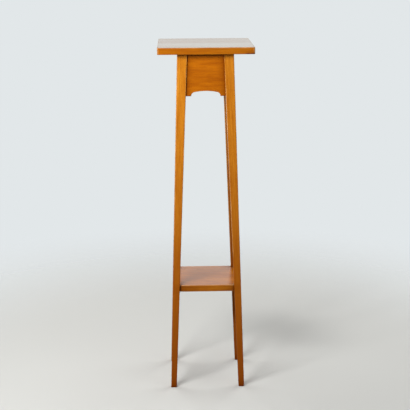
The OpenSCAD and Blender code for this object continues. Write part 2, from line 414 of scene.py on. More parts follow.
# %% [markdown]
# ## A board with eased arrises
# Seen in section, the rim of a board goes a little way in along its underside, round the
# lower arris, up the edge, round the upper arris and in along the upper face. A board is
# that profile carried round an outline: each step of the profile is one loop, at its own
# height and with its own inset. Here the insets also wander along the edge.

# %% Carry a profile round a board
FACE_RINGS = np.array([0.3, 3.0, 9.0, 18.0]) * MM
EDGE_RINGS = np.array([4.0, 1.5, 0.3]) * MM
FACE_SIDE_RUB = 0.5


def rim_profile():
    """Steps of the rim from the underside to the upper face, as three columns: which arris a
    step belongs to (-1 lower, 1 upper), its angle round that arris, from 0 on the edge to a
    quarter turn on the face, and how far beyond the arris it lies on the edge or the face."""
    upper = [(1, 0.0, d) for d in EDGE_RINGS] + [(1, angle, 0.0) for angle in ARC_ANGLES]
    upper += [(1, np.pi / 2, d) for d in FACE_RINGS]
    lower = [(-1, angle, d) for _, angle, d in reversed(upper)]
    return np.array(lower + upper).T[..., None]


rim_side, rim_angle, rim_beyond = rim_profile()


def rim_loops(low, high, radius):
    """Inset and height of every point: the inset is r * (1 - cos(angle)) plus what lies beyond
    on the face, and the height is r * (1 - sin(angle)) in from that face, plus what lies
    beyond on the edge. radius is a number or (1, points)."""
    inset = radius * (1 - np.cos(rim_angle)) + rim_beyond * np.sin(rim_angle)
    into = radius * (1 - np.sin(rim_angle)) + rim_beyond * np.cos(rim_angle)
    return inset, np.where(rim_side > 0, high - into, low + into)


def rim_note():
    """1 where an arris turns into a face, less where it turns into the edge, and fading beyond it
    on both. It carries the pale rub, partly wear from dusting and handling and partly a painted
    highlight, which lies mostly on the faces' side."""
    share = (1 - FACE_SIDE_RUB) + FACE_SIDE_RUB * np.sin(rim_angle)
    return fading(rim_beyond, SOFT_EDGE) * share


print("steps in a board's rim:", len(rim_side))

# %% [markdown]
# ## The top
# The top is a square board whose arrises have been rounded over by hand. Its sides carry points
# every few millimetres, so that the rounding can wander, and so that the small dents in the front's
# lower arris are real hollows in the mesh. A dent's depth follows a bell curve along the arris. The
# front's upper arris is rubbed palest, which is partly wear and partly a painted highlight: it
# lessens over the first stretch of each side, stays low round the back and is less on the lower
# arris.

# %% Shape the top
TOP_ARRIS_R = 1.9 * MM
TOP_PLAN_R = 3.6 * MM
TOP_UNEVEN = 0.2
TOP_WAVE_SEED = 2
ROUND_THE_SIDES = 1.3
NEAREST_HOLD = 0.3 * MM
TOP_HOLDS = 36
TOP_MIDDLE_CLEAR = 3 * MM
TOP_JOINT = -12 * MM
TOP_LOG = (0.4, 0.085, 0.055 - leg_top)
# Each dent's place along the front, its width and its share of the greatest depth.
DENTS = ((0.129, 6.0 * MM, 0.9), (0.116, 5.5 * MM, 0.75), (-0.081, 2.6 * MM, 0.45))
DENT_DEPTH = 0.5 * MM
DENT_GRIME, DENT_DARK = 5.0 * MM, 1.3
# How the arris note, which carries the pale rub and painted highlight, lessens along the sides, on
# the lower arris and up the corners.
SIDE_REACH, SIDE_SPARED = 40 * MM, 0.85
LOWER_ARRIS_RUB = 0.45
TOP_CORNER_RUB = 0.9
BARE_BEYOND = 8 * MM
FACE_BEYOND, FACE_DEPTH = 2.9 * MM, 0.2 * MM


def top_edge_note(holds, y):
    """The rim's note, less on the lower arris and on the sides and the back, and a note of the
    same kind up the four corners."""
    backwards = np.clip((y + top_half) / SIDE_REACH, 0, 1)[None, :]
    edge = np.where(rim_side < 0, LOWER_ARRIS_RUB, 1.0) * rim_note() * (1 - SIDE_SPARED * backwards)
    upright = arris_note(holds)[None, :] * np.cos(rim_angle)
    return np.maximum(edge, TOP_CORNER_RUB * upright)


def make_top():
    """The rim's profile carried round a rounded square. Between an arris's two ends a dent
    goes deepest, so its depth follows sin(2 * angle). End grain shows on the edges that look
    sideways, but not on the faces."""
    longest = top_half - FACE_RINGS[-1] - TOP_MIDDLE_CLEAR
    holds = (NEAREST_HOLD, *np.linspace(0, longest, TOP_HOLDS)[1:])
    x, y = square_loops(top_half, TOP_PLAN_R, np.zeros((1, 1)), holds)[0].T
    radius = TOP_ARRIS_R * (1 + TOP_UNEVEN * wander(x + ROUND_THE_SIDES * y, TOP_WAVE_SEED))
    inset, height = rim_loops(leg_top, top_high.z, radius[None, :])
    front = (y < -top_half + TOP_PLAN_R)[None, :]
    dent = sum(depth * bell(x - at, width) for at, width, depth in DENTS)[None, :]
    hollow = np.where(front & (rim_side < 0), DENT_DEPTH * dent * np.sin(2 * rim_angle), 0.0)
    stack = raised(square_loops(top_half, TOP_PLAN_R, inset + hollow, holds), height + hollow)
    from_face = np.minimum(height - leg_top, top_high.z - height)
    on_face = (inset > FACE_BEYOND) | (from_face < FACE_DEPTH)
    sideways = (np.abs(x) > top_half - TOP_PLAN_R)[None, :]
    dirt = np.minimum(DENT_DARK * dent, 1.0) * bell(height - leg_top, DENT_GRIME)
    underneath = (height <= leg_top + HAIR) & (inset > BARE_BEYOND)
    return piece_from_stack("top_wood", stack, {
        "grain": stack + np.array(TOP_LOG),
        "edge": top_edge_note(holds, y),
        "nook": np.where(front, dirt, 0.0),
        "end_grain": (sideways & ~on_face).astype(float),
        "bare": underneath.astype(float),
    })


top = make_top()
print("top:", len(top.data.vertices), "points")

# %% [markdown]
# ## The shelf
# The shelf is a square board with a square notch sawn out of each corner for the leg. The
# legs lean, so each notch leans with its leg: its inner corner lies further in at the
# upper face than at the lower one. One quarter of the outline is written down, and three
# quarter turns complete it.

# %% Shape the shelf
SHELF_ARRIS_R = 1.4 * MM
SHELF_CORNER_R = 1.6 * MM
NOTCH_GAP = 0.15 * MM
# Reach and share of the painted shade round the notches, where the legs shade the shelf, and how
# deep it lies before the arris is rubbed less.
NOTCH_SHADE, NOTCH_DARK = 7 * MM, 0.9
SHELF_SHADE, SHELF_SHADED = 28 * MM, 0.65
DEEP_SHADE, DEEP_RUB = 0.8, 0.3
SIDE_SHARES = (0.0, 0.3, 0.6, 0.8, 0.92)
NOTCH_SHARES = (0.15, 0.5, 0.85)
EDGE_SHARE, EDGE_REACH = 0.4, 2 * MM
SHELF_LOG = (1.7, 0.03, 0.05 - shelf_low.z)


def shelf_quarter(notch, inset):
    """One quarter of the outline, from the middle of the right side to the middle of the back:
    up the side, round into the notch, along its two faces and round out again. notch is how
    far the notch's faces lie from the shelf's middle. Both arrays hold one value a loop."""
    far, near = shelf_half - inset, notch - inset
    r = np.maximum(SHELF_CORNER_R - inset, LEAST_R)
    side = [(far, (near - r) * share) for share in SIDE_SHARES]
    turn = [(far - r + r * np.cos(a), near - r + r * np.sin(a)) for a in ARC_ANGLES]
    face = [((far - r) + (near - (far - r)) * share, near) for share in NOTCH_SHARES]
    first = np.moveaxis(np.array(side + turn + face), -1, 0)
    corner = np.stack([near, near], -1)[:, None]
    mirrored = first[:, ::-1, ::-1]
    return np.concatenate([first, corner, mirrored[:, :-1]], axis=1)


def make_shelf():
    """The rim's profile carried round the notched outline. Painted shade darkens it round the
    notches, where the legs shade it, and thins out over the shelf, and the arris is rubbed less
    where that shade is deep."""
    inset, height = rim_loops(shelf_low.z, shelf_high.z, SHELF_ARRIS_R)
    quarter = shelf_quarter((leg_in(height) - NOTCH_GAP)[:, 0], inset[:, 0])
    stack = raised(np.concatenate([turned(quarter, k) for k in range(4)], axis=1), height)
    reach = np.abs(stack[..., :2]).min(axis=-1)
    to_leg = np.maximum(leg_in(stack[..., 2]) - reach, 0)
    notch_shade = np.maximum(fading(to_leg, NOTCH_SHADE), SHELF_SHADED * fading(to_leg, SHELF_SHADE))
    notch_shade = notch_shade * np.clip(1 - inset / FACE_RINGS[-1], 0, 1)
    sideways = np.abs(stack[..., 0]) > shelf_half - EDGE_REACH
    on_edge = sideways & (inset < EDGE_SHARE * SHELF_ARRIS_R)
    return piece_from_stack("shelf_wood", stack, {
        "grain": stack + np.array(SHELF_LOG),
        "edge": rim_note() * np.where(notch_shade > DEEP_SHADE, DEEP_RUB, 1.0),
        "nook": NOTCH_DARK * notch_shade,
        "end_grain": on_edge.astype(float),
        "bare": np.zeros_like(reach),
    })


shelf = make_shelf()
print("shelf:", len(shelf.data.vertices), "points")

# %% [markdown]
# ## The arch in the aprons
# The lower edge of each apron is sawn to one wide, flat curve that drops into a tight curve
# at each end. All of it is circles that run into each other smoothly, so the direction that
# points into the wood turns steadily along it. That direction is what the small rounding of
# the edge needs. Where the tight curve meets the straight part, a small fillet softens the
# point, as sandpaper does.

# %% Work out the arch
ARCH_SPAN = 83 * MM
ARCH_RISE = 14.5 * MM
ARCH_END_R = 11.5 * MM
ARCH_POINT_R = 1.3 * MM
CROWN_STEPS, END_STEPS, POINT_STEPS = 22, 16, 8
STRAIGHT_SHARES = 1 - np.array([0.93, 0.75, 0.5, 0.3, 0.16, 0.07, 0.02, 0.0])
end_x = ARCH_SPAN / 2 - ARCH_END_R
crown_r = (end_x ** 2 + ARCH_RISE ** 2 - ARCH_END_R ** 2) / (2 * (ARCH_RISE - ARCH_END_R))


def lower_edge(half_width):
    """The lower edge from the left leg to the right leg, as points (x, z) and directions into
    the wood. An arc's point is its centre plus its radius times the direction, or minus it on
    the fillet, whose centre lies inside the wood. The right half is worked out from the
    arch's crown to the leg, and before it comes its mirror image, run backwards."""
    crown_turn = np.arcsin(end_x / (crown_r - ARCH_END_R))
    fillet_x = end_x + np.sqrt((ARCH_END_R + ARCH_POINT_R) ** 2 - ARCH_POINT_R ** 2)
    end_turn = np.arctan2(fillet_x - end_x, ARCH_POINT_R)
    arcs = [
        ((0.0, ARCH_RISE - crown_r), crown_r, np.linspace(0, crown_turn, CROWN_STEPS)[:-1]),
        ((end_x, 0.0), ARCH_END_R, np.linspace(crown_turn, end_turn, END_STEPS)[:-1]),
        ((fillet_x, ARCH_POINT_R), -ARCH_POINT_R, np.linspace(end_turn, 0, POINT_STEPS)),
    ]
    points, into = [], []
    for centre, r, angle in arcs:
        direction = np.stack([np.sin(angle), np.cos(angle)], -1)
        points.append(np.array(centre) + r * direction)
        into.append(direction)
    x = fillet_x + (half_width - fillet_x) * STRAIGHT_SHARES
    points.append(np.stack([x, np.zeros_like(x)], -1))
    into.append(np.tile([0.0, 1.0], (len(x), 1)))
    halves = np.concatenate(points), np.concatenate(into)
    return [np.concatenate([half[:0:-1] * (-1.0, 1.0), half]) for half in halves]


print("crown radius %.1f mm" % (crown_r / MM))

# %% [markdown]
# ## The aprons
# An apron is a row of cross-sections from one leg to the other. Each section goes down the
# outer face, round the lower edge and up the inner face. It stands on a point of the lower
# edge and leans to a point on the straight upper edge, shared out evenly, so the sections
# fan out a little over the arch. The whole board leans with the legs, so a point's distance
# from the stand's middle depends on its height.

# %% Shape the aprons
APRON_EDGE_R = 0.9 * MM
FACE_SHARES = np.array([0.0, 0.012, 0.035, 0.08, 0.2, 0.4, 0.6, 0.8, 0.9, 0.96, 0.985, 0.997])
APRON_LOG = (0.0, 0.03, 0.05)
NEXT_APRON_LOG = np.array([0.7, 0.02, 0.0])
# Reaches and shares of the apron's painted shade beside the legs and under the top, where they
# shade it, of its darker lower edge, and of all this on the inner face.
APRON_JOINT_SHADE, JOINT_DARK = 9 * MM, 0.85
UNDER_TOP_SHADE_AND_GRIME = 9 * MM
APRON_FOOT_DARK_REACH, APRON_FOOT_DARK = 4 * MM, 0.9
INNER_FACE_SHARE = 0.4
APRON_FOOT_SPARED = 0.8
RUB_LOST_A_POINT = 0.5


def apron_sections():
    """A stack (sections, around, 3) of x, height and depth behind the outer face. Points on a
    face lie on the line from the upper edge to where the rounding begins. Round the edge, a
    point lies r * (1 - sin(angle)) into the wood and r * (1 - cos(angle)) behind its face."""
    foot, into = lower_edge(leg_in(apron_low))
    stride = np.linalg.norm(np.diff(foot, axis=0), axis=1)
    share = np.concatenate([[0], np.cumsum(stride)]) / stride.sum()
    head = np.stack([leg_in(leg_top) * (2 * share - 1),
                     np.full_like(share, leg_top - apron_low)], -1)
    start = foot + into * APRON_EDGE_R
    face = head[:, None] + (start - head)[:, None] * FACE_SHARES[:, None]
    inset = APRON_EDGE_R * (1 - np.sin(ARC_ANGLES))
    behind = APRON_EDGE_R * (1 - np.cos(ARC_ANGLES))
    rim = foot[:, None] + into[:, None] * inset[:, None]
    plane = np.concatenate([face, rim, rim[:, ::-1], face[:, ::-1]], axis=1)
    flat = np.zeros_like(FACE_SHARES)
    depth = np.concatenate([flat, behind, apron_t - behind[::-1], flat + apron_t])
    return raised(plane, depth[None, :])


def make_apron(name, quarter_turns, seed):
    """Stands the sections up on the front, leaning with the legs, and turns them about Z. The grain
    runs along the apron. Painted shade darkens it beside the legs and under the top, where they
    shade it, with a little dirt, and it is darker along the lower edge, most where that runs
    straight. The arris is rubbed pale on its rounding and a point or two beyond, partly wear and
    partly a painted highlight."""
    x, rise, depth = np.moveaxis(apron_sections(), -1, 0)
    z = apron_low + rise
    stack = turned(np.stack([x, -(leg_out(z) - apron_setback - depth), z], -1), quarter_turns)
    at_foot = fading(rise, APRON_FOOT_DARK_REACH)
    nook = np.maximum.reduce([
        JOINT_DARK * fading(leg_in(z) - np.abs(x), APRON_JOINT_SHADE),
        fading(leg_top - z, UNDER_TOP_SHADE_AND_GRIME),
        APRON_FOOT_DARK * at_foot,
    ])
    around = stack.shape[1]
    from_rim = np.abs(np.arange(around) - (around - 1) / 2) - len(ARC_ANGLES)
    edge = np.clip(1 - RUB_LOST_A_POINT * np.maximum(from_rim, 0), 0, 1)
    return piece_from_stack(name, stack, {
        "grain": np.stack([x, rise, depth], -1) + APRON_LOG + NEXT_APRON_LOG * seed,
        "edge": edge[None, :] * (1 - APRON_FOOT_SPARED * at_foot),
        "nook": nook * np.where(depth < apron_t / 2, 1.0, INNER_FACE_SHARE),
        "end_grain": np.zeros_like(z),
        "bare": np.where(depth > apron_t - HAIR, 1.0, 0.0),
    })


aprons = {}
for quarter_turns, side in enumerate(("front", "right", "back", "left")):
    name = "apron_wood_" + side
    aprons["apron_" + side] = make_apron(name, quarter_turns, quarter_turns + 1)
print("aprons:", {name: len(apron.data.vertices) for name, apron in aprons.items()})

# %% [markdown]
# ## Writing a material as a recipe
# A material is a network of nodes. Written out node by node it is hard to read, so a small
# recipe object adds one node at a time and wires it. In the code it is called mix. Where it
# is given a number instead of a wire, the number goes on the node's own socket. The same
# object writes node groups, which are effects with named inputs and outputs that several
# materials share. A field of noise is named once, with how many lumps a metre holds along
# each axis, how many finer layers it has and how strong these are.

# %% A recipe for a node tree
MIX_SHARE, MIX_FIRST, MIX_SECOND, MIX_RESULT = 0, 6, 7, 2


class Recipe:
    """Adds nodes to one tree. Most calls return the wire that leaves the new node. maths,
    product, total and strongest work on numbers, and split, joined and vector on places."""

    def __init__(self, tree):
        self.tree = tree

    def feed(self, node, wires):
        """Joins wires to a node's sockets, or sets a socket to a number, a place or a colour."""
        for socket, value in wires.items():
            if isinstance(value, bpy.types.NodeSocket):
                self.tree.links.new(value, node.inputs[socket])
            else:
                node.inputs[socket].default_value = value

    def node(self, kind, wires=(), **settings):
        made = self.tree.nodes.new(kind)
        for name, value in settings.items():
            setattr(made, name, value)
        self.feed(made, dict(wires))
        return made

    def out(self, kind, wires=(), output=0, **settings):
        """Adds a shader node and returns one of its wires."""
        return self.node("ShaderNode" + kind, wires, **settings).outputs[output]

    def maths(self, operation, *values):
        return self.out("Math", enumerate(values), operation=operation)

    def product(self, value, by):
        return self.maths("MULTIPLY", value, by)

    def total(self, first, *others):
        for other in others:
            first = self.maths("ADD", first, other)
        return first

    def strongest(self, first, *others):
        for other in others:
            first = self.maths("MAXIMUM", first, other)
        return first

    def shares(self, masks, weights):
        """Each of these masks that the piece has, times its weight."""
        return [self.product(masks[name], weight)
                for name, weight in weights.items() if name in masks]

    def split(self, vector):
        return self.node("ShaderNodeSeparateXYZ", {"Vector": vector}).outputs

    def joined(self, x=0.0, y=0.0, z=0.0):
        return self.out("CombineXYZ", {"X": x, "Y": y, "Z": z})

    def vector(self, operation, *values):
        return self.out("VectorMath", enumerate(values), operation=operation)

    def noise(self, place, stretch, detail=2.0, roughness=0.5):
        """Noise between 0 and 1; stretch is how many lumps a metre holds along each axis."""
        scaled = self.vector("MULTIPLY", place, stretch)
        wires = {"Vector": scaled, "Scale": 1.0, "Detail": detail, "Roughness": roughness}
        return self.out("TexNoise", wires, "Fac")

    def ramp(self, value, low, high, kind="SMOOTHSTEP"):
        """0 at low, 1 at high, and a smooth or a LINEAR step between."""
        wires = {"Value": value, "From Min": low, "From Max": high}
        return self.out("MapRange", wires, "Result", interpolation_type=kind)

    def blend(self, share, colour, other):
        """Goes from one colour to the other as share goes from 0 to 1. A Mix node has sockets
        for numbers and places too, so the ones for colours go by their numbers."""
        wires = {MIX_SHARE: share, MIX_FIRST: colour, MIX_SECOND: other}
        return self.out("Mix", wires, MIX_RESULT, data_type="RGBA")

    def attribute(self, name, output="Fac"):
        return self.out("Attribute", (), output, attribute_name=name)

    def object_place(self):
        """Coordinates on the object, which are the stand's own, because no piece is moved."""
        return self.out("TexCoord", (), "Object")

    def bumped(self, height):
        """The normal of a surface with this height in metres."""
        return self.out("Bump", {"Height": height, "Distance": 1.0}, "Normal")

    def group(self, tree, wires):
        """Places a group and returns its outputs by name."""
        placed = self.node("ShaderNodeGroup", wires, node_tree=tree)
        return {out.name: out for out in placed.outputs}

    def give(self, wires):
        """Ends a group: each wire leaves it by the output of that name."""
        self.node("NodeGroupOutput", wires)
        print("group:", self.tree.name, "->", ", ".join(wires))
        return self.tree


print("a recipe knows", sum(not name.startswith("_") for name in vars(Recipe)), "steps")

# %% [markdown]
# ## Starting a group, a material or a colour
# A group's sockets are made before its nodes, and each needs a kind: it follows from the
# value that the socket starts with. Tones are written as a screen shows them and turned
# into the linear light that a shader works with.

# %% Start a group, a material or a colour
SOCKET_KINDS = {1: "NodeSocketFloat", 3: "NodeSocketVector", 4: "NodeSocketColor"}
ORIGIN = (0.0, 0.0, 0.0)
BLACK = (0.0, 0.0, 0.0, 1.0)


def new_group(name, inputs, outputs):
    """An empty node group and its inputs' wires. A socket's value is a number, three numbers
    for a place, or four for a colour."""
    group = bpy.data.node_groups.new(name, "ShaderNodeTree")
    for way, sockets in (("INPUT", inputs), ("OUTPUT", outputs)):
        for label, value in sockets.items():
            kind = SOCKET_KINDS[len(value) if isinstance(value, tuple) else 1]
            socket = group.interface.new_socket(label, in_out=way, socket_type=kind)
            socket.default_value = value
    mix = Recipe(group)
    return mix, mix.node("NodeGroupInput").outputs


def new_material(name):
    """A material with nodes, its recipe and its shader."""
    material = bpy.data.materials.new(name)
    material.use_nodes = True
    return material, Recipe(material.node_tree), material.node_tree.nodes["Principled BSDF"]


def shade(red, green, blue):
    """A screen colour (0 to 255) as linear light, by the sRGB curve."""
    screen = np.array([red, green, blue]) / 255
    linear = np.where(screen <= 0.04045, screen / 12.92, ((screen + 0.055) / 1.055) ** 2.4)
    return (*linear.tolist(), 1.0)


print("middle grey on the screen is %.3f in linear light" % shade(128, 128, 128)[0])

# %% [markdown]
# ## Wood figure
# Wood is a bundle of growth rings, so its pattern is solid: it is worked out from a place in
# the log, and each sawn face shows its own cut through it. The distance from the log's
# heart, divided by the width of a ring, counts the rings. Slow noise bends them. The part
# after the decimal point runs from 0 to 1 within a ring: pale early wood first, then a
# darker line of late wood. A tree tapers, so the heart leans through the board, and the
# rings come out of its face as long pointed arches. Streaks along the grain are bands that
# took up more colour, fibres are the same much finer, and thin dark dashes are open pores.

# %% Build the wood figure group
RING_BEND = ((2.2, 11.0, 11.0), 3.0)
SIDEWAYS_LEAN = 0.4
UNEVEN_YEARS, YEARS_APART = ((0.31, 0.0, 0.0), 1.0), 2.4
RING_STRENGTH = ((1.73, 0.0, 0.0), 0.0)
FAINT_TO_STRONG = (0.2, 0.75)
LATE_WOOD_STARTS, LATE_WOOD_ENDS = (0.25, 0.9), (1.0, 0.93)
CLOUDS = ((3.5, 16.0, 16.0), 3.0)
STREAKS = ((16.0, 120.0, 120.0), 3.0, 0.6)
FIBRES = ((22.0, 800.0, 800.0), 4.0, 0.62)
PORES, OPEN_PORE = ((140.0, 2100.0, 2100.0), 1.0), (0.6, 0.72)
CLOUD_AMOUNT, FIBRE_AMOUNT, PORE_AMOUNT = 1.0, 0.8, 0.5


def count_rings(mix, place, wire):
    """Distance from the leaning heart plus noise times waver, divided by the ring width, plus
    a slow noise of the count itself, which makes some years wider than others."""
    along, across, through = mix.split(place)
    leaning = mix.product(along, wire["Lean"])
    across = mix.total(across, mix.product(leaning, SIDEWAYS_LEAN))
    through = mix.total(through, leaning)
    squares = mix.total(mix.product(across, across), mix.product(through, through))
    bend = mix.product(mix.noise(place, *RING_BEND), wire["Waver"])
    from_heart = mix.total(mix.maths("SQRT", squares), bend)
    count = mix.maths("DIVIDE", from_heart, wire["Ring Width"])
    uneven = mix.noise(mix.joined(x=count), *UNEVEN_YEARS)
    return mix.total(count, mix.product(uneven, YEARS_APART))


# Late = a smooth step up through the ring and a quick one down at its end, times a strength
# that changes from ring to ring. Tone = 0.5 plus each noise's departure from 0.5 times its
# amount, and it goes from the dark colour to the pale one.
mix, wire = new_group(
    "wood figure",
    {"Place": ORIGIN, "Ring Width": 0.003, "Waver": 0.006, "Lean": 0.03, "Pale": BLACK,
     "Dark": BLACK, "Late Wood": BLACK, "Late Amount": 0.5, "Streak Amount": 1.0},
    {"Color": BLACK, "Late": 0.0, "Fibres": 0.0, "Pores": 0.0},
)
place = wire["Place"]
count = count_rings(mix, place, wire)
within = mix.maths("FRACT", count)
late = mix.product(mix.ramp(within, *LATE_WOOD_STARTS), mix.ramp(within, *LATE_WOOD_ENDS))
strength = mix.noise(mix.joined(x=mix.maths("FLOOR", count)), *RING_STRENGTH)
late = mix.product(late, mix.ramp(strength, *FAINT_TO_STRONG))
fibres = mix.noise(place, *FIBRES)
pores = mix.ramp(mix.noise(place, *PORES), *OPEN_PORE)
amounts = ((mix.noise(place, *CLOUDS), CLOUD_AMOUNT),
           (mix.noise(place, *STREAKS), wire["Streak Amount"]), (fibres, FIBRE_AMOUNT))
tone = mix.total(0.5, *(
    mix.product(mix.maths("SUBTRACT", noise, 0.5), amount) for noise, amount in amounts))
colour = mix.blend(tone, wire["Dark"], wire["Pale"])
for share in (mix.product(late, wire["Late Amount"]), mix.product(pores, PORE_AMOUNT)):
    colour = mix.blend(share, colour, wire["Late Wood"])
wood_figure = mix.give({"Color": colour, "Late": late, "Fibres": fibres, "Pores": pores})

# %% [markdown]
# ## Boards glued side by side
# A wide top is rarely one board. This one shows two tones with a straight border near its
# middle, so it is glued up from two boards, each from its own place in a log. The group
# moves the grain's coordinates past the joint by a fixed step, tells which board a place is
# on, and marks the hair-thin glue line.

# %% Build the glued boards group
# Second = 1 past the joint across the grain. Place = place + step * Second. Line = 1 within
# half the line's width of the joint.
mix, wire = new_group(
    "glued boards",
    {"Place": ORIGIN, "Joint": 0.0, "Step": ORIGIN, "Line Width": 0.0005},
    {"Place": ORIGIN, "Second": 0.0, "Line": 0.0},
)
past = mix.maths("SUBTRACT", mix.split(wire["Place"])[1], wire["Joint"])
second = mix.maths("GREATER_THAN", past, 0.0)
step = mix.vector("MULTIPLY", wire["Step"], mix.joined(second, second, second))
half_line = mix.product(wire["Line Width"], 0.5)
glued_boards = mix.give({
    "Place": mix.vector("ADD", wire["Place"], step),
    "Second": second,
    "Line": mix.maths("LESS_THAN", mix.maths("ABSOLUTE", past), half_line),
})

# %% [markdown]
# ## Old lacquer
# The lacquer is thin, amber and old. It has rubbed away a little along the arrises and picked up
# fine scratches from being wiped and from pots slid across it. The group turns the notes that the
# pieces carry, edge and shade and grime, into masks broken up by noise: pale rub on the arrises,
# partly wear and partly a painted highlight, and painted shade in the corners, with a little real
# dirt. It also gives the height of the film's surface in metres: a soft brushed ripple and a few
# specks of dust caught in it.

# %% Build the old lacquer group
SCRATCH_WAYS = ((0.5, (14.0, 1500.0, 1500.0)), (-1.0, (26.0, 1900.0, 1900.0)))
SCRATCH = (0.76, 0.84)
PATCHES, RUBBED_THROUGH = ((26.0, 26.0, 26.0), 3.0), (0.5, 1.3)
# How the painted shade and grime is broken into blotches, how deep it goes, and how it steps from
# faint to deep.
BLOTCHES, FAINT_TO_DEEP = ((170.0, 170.0, 170.0), 3.0), (0.06, 0.9)
EVEN_SHARE, BLOTCHED_SHARE = 0.8, 0.4
WIPING, SHINY_TO_DULL = ((3.0, 13.0, 13.0), 3.0), (0.3, 0.7)
SPECKS, SPECK = ((1100.0, 1100.0, 1100.0), 0.0), (0.74, 0.86)
RIPPLE = ((18.0, 420.0, 420.0), 1.0)
FILM_HEIGHTS = {"ripple": 6e-6, "specks": 1e-5, "scratches": -3e-6}


def scratch_mask(mix, grain):
    """Two fields of noise, stretched until they are hairs and each turned its own way."""
    hairs = []
    for turn, stretch in SCRATCH_WAYS:
        wires = {"Vector": grain, "Angle": turn}
        slanted = mix.out("VectorRotate", wires, rotation_type="Z_AXIS")
        hairs.append(mix.ramp(mix.noise(slanted, stretch, 0.0), *SCRATCH))
    return mix.strongest(*hairs)


# Rub and highlight = edge times noise, stepped. Painted shade and grime = its note times noise.
# Height = ripple plus dust specks minus scratches, each times its own depth.
mix, wire = new_group(
    "old lacquer",
    {"Place": ORIGIN, "Grain": ORIGIN, "Edge": 0.0, "Nook": 0.0, "Wear": 0.5},
    {"Rub": 0.0, "Grime": 0.0, "Scratches": 0.0, "Dullness": 0.0, "Height": 0.0},
)
place, grain = wire["Place"], wire["Grain"]
worn = mix.product(wire["Edge"], mix.total(mix.noise(place, *PATCHES), wire["Wear"]))
blotched = mix.product(mix.noise(place, *BLOTCHES), BLOTCHED_SHARE)
darkening = mix.product(wire["Nook"], mix.total(EVEN_SHARE, blotched))
film = {
    "ripple": mix.noise(grain, *RIPPLE),
    "specks": mix.ramp(mix.noise(place, *SPECKS), *SPECK),
    "scratches": scratch_mask(mix, grain),
}
old_lacquer = mix.give({
    "Rub": mix.ramp(worn, *RUBBED_THROUGH),
    "Grime": mix.ramp(darkening, *FAINT_TO_DEEP, kind="LINEAR"),
    "Scratches": film["scratches"],
    "Dullness": mix.ramp(mix.noise(grain, *WIPING), *SHINY_TO_DULL),
    "Height": mix.total(*mix.shares(film, FILM_HEIGHTS)),
})

# %% [markdown]
# ## Lacquered wood
# Every lacquered piece is one recipe with its own tones. The figure comes first, and end grain is
# darker because it drinks more finish. The lower ends of the legs are painted darker and redder, a
# painted shade that deepens the fall of light towards the floor. The arrises are painted a little
# darker, a painted shade of arrises that turn from the light, and then pale where they are rubbed,
# which is partly wear and partly a painted highlight. The corners take painted shade with a little
# real dirt. The gloss is a clear coat, thinner along the arrises, where it is dull and under the
# painted shade. At a flat angle it mirrors the pale surroundings, which turns the top almost white,
# and face on it lets the amber through. The inner gloss is what the wood reflects by itself under
# that coat: next to nothing on the legs and aprons, a little on the shelf and more on the top. The
# shelf's coat is also rougher, so that the leg behind shows in it only as a soft streak.

# %% Mix the lacquered woods
PORE_DEPTH, FIBRE_DEPTH = 8e-6, 4e-6
LATE_WOOD = shade(132, 62, 6)
BARE_PALE, BARE_DARK = shade(186, 136, 84), shade(140, 92, 50)
# Heights where the foot's painted shade starts and where it is full.
FOOT_SHADE_FADE = (0.85, 0.0)
# Each tint's mask, the most that it covers and its tone, in the order that they are laid on.
TINTS = (
    # The foot: painted shade, darker and redder towards the floor.
    ("foot", 1.0, shade(152, 73, 4)),
    ("end_grain", 0.5, shade(128, 58, 6)),
    # Painted shade along the arrises.
    ("edge", 0.2, shade(120, 56, 6)),
    # Painted shade in the corners, with a little real dirt.
    ("Grime", 0.85, shade(96, 34, 0)),
    # Pale rubbed arrises: partly wear, partly a painted highlight.
    ("Rub", 0.65, shade(236, 184, 116)),
)
SECOND_BOARD, GLUE_LINE = 0.3, (0.6, shade(96, 48, 12))
ROUGHER = {"Dullness": 0.06, "Scratches": 0.12, "Grime": 0.2, "bare": 0.35}
COAT_LOST = {"bare": 1.0, "Grime": 0.8, "Rub": 0.5, "Dullness": 0.07, "Second": 0.22}
COAT_IOR = 1.5


def wood_colour(mix, wood, figure, masks):
    """The figure's colour with the foot's painted shade, end grain, painted shade on the arrises,
    painted shade and grime in the corners, rubbed and highlighted arrises, bare faces, a second
    board and the glue line laid over it in turn, each by its own mask."""
    colour = figure["Color"]
    bare = mix.blend(figure["Fibres"], BARE_DARK, BARE_PALE)
    last = (("bare", 1.0, bare), ("Second", SECOND_BOARD, wood.get("second")), ("Line", *GLUE_LINE))
    for name, share, tone in TINTS + last:
        if name in masks:
            colour = mix.blend(mix.product(masks[name], share), colour, tone)
    return colour


def lacquer_gloss(mix, wood, masks):
    """Roughness of the wood = its own plus what each mask adds. What is left of the coat = 1
    minus the strongest of the masks that take it away."""
    rougher = mix.shares(masks, {**ROUGHER, "edge": wood["rough edge"]})
    lost = mix.shares(masks, {**COAT_LOST, "edge": wood["thin edge"]})
    return {
        "Roughness": mix.total(wood["rough"], *rougher),
        "Coat Weight": mix.maths("SUBTRACT", 1.0, mix.strongest(*lost)),
    }


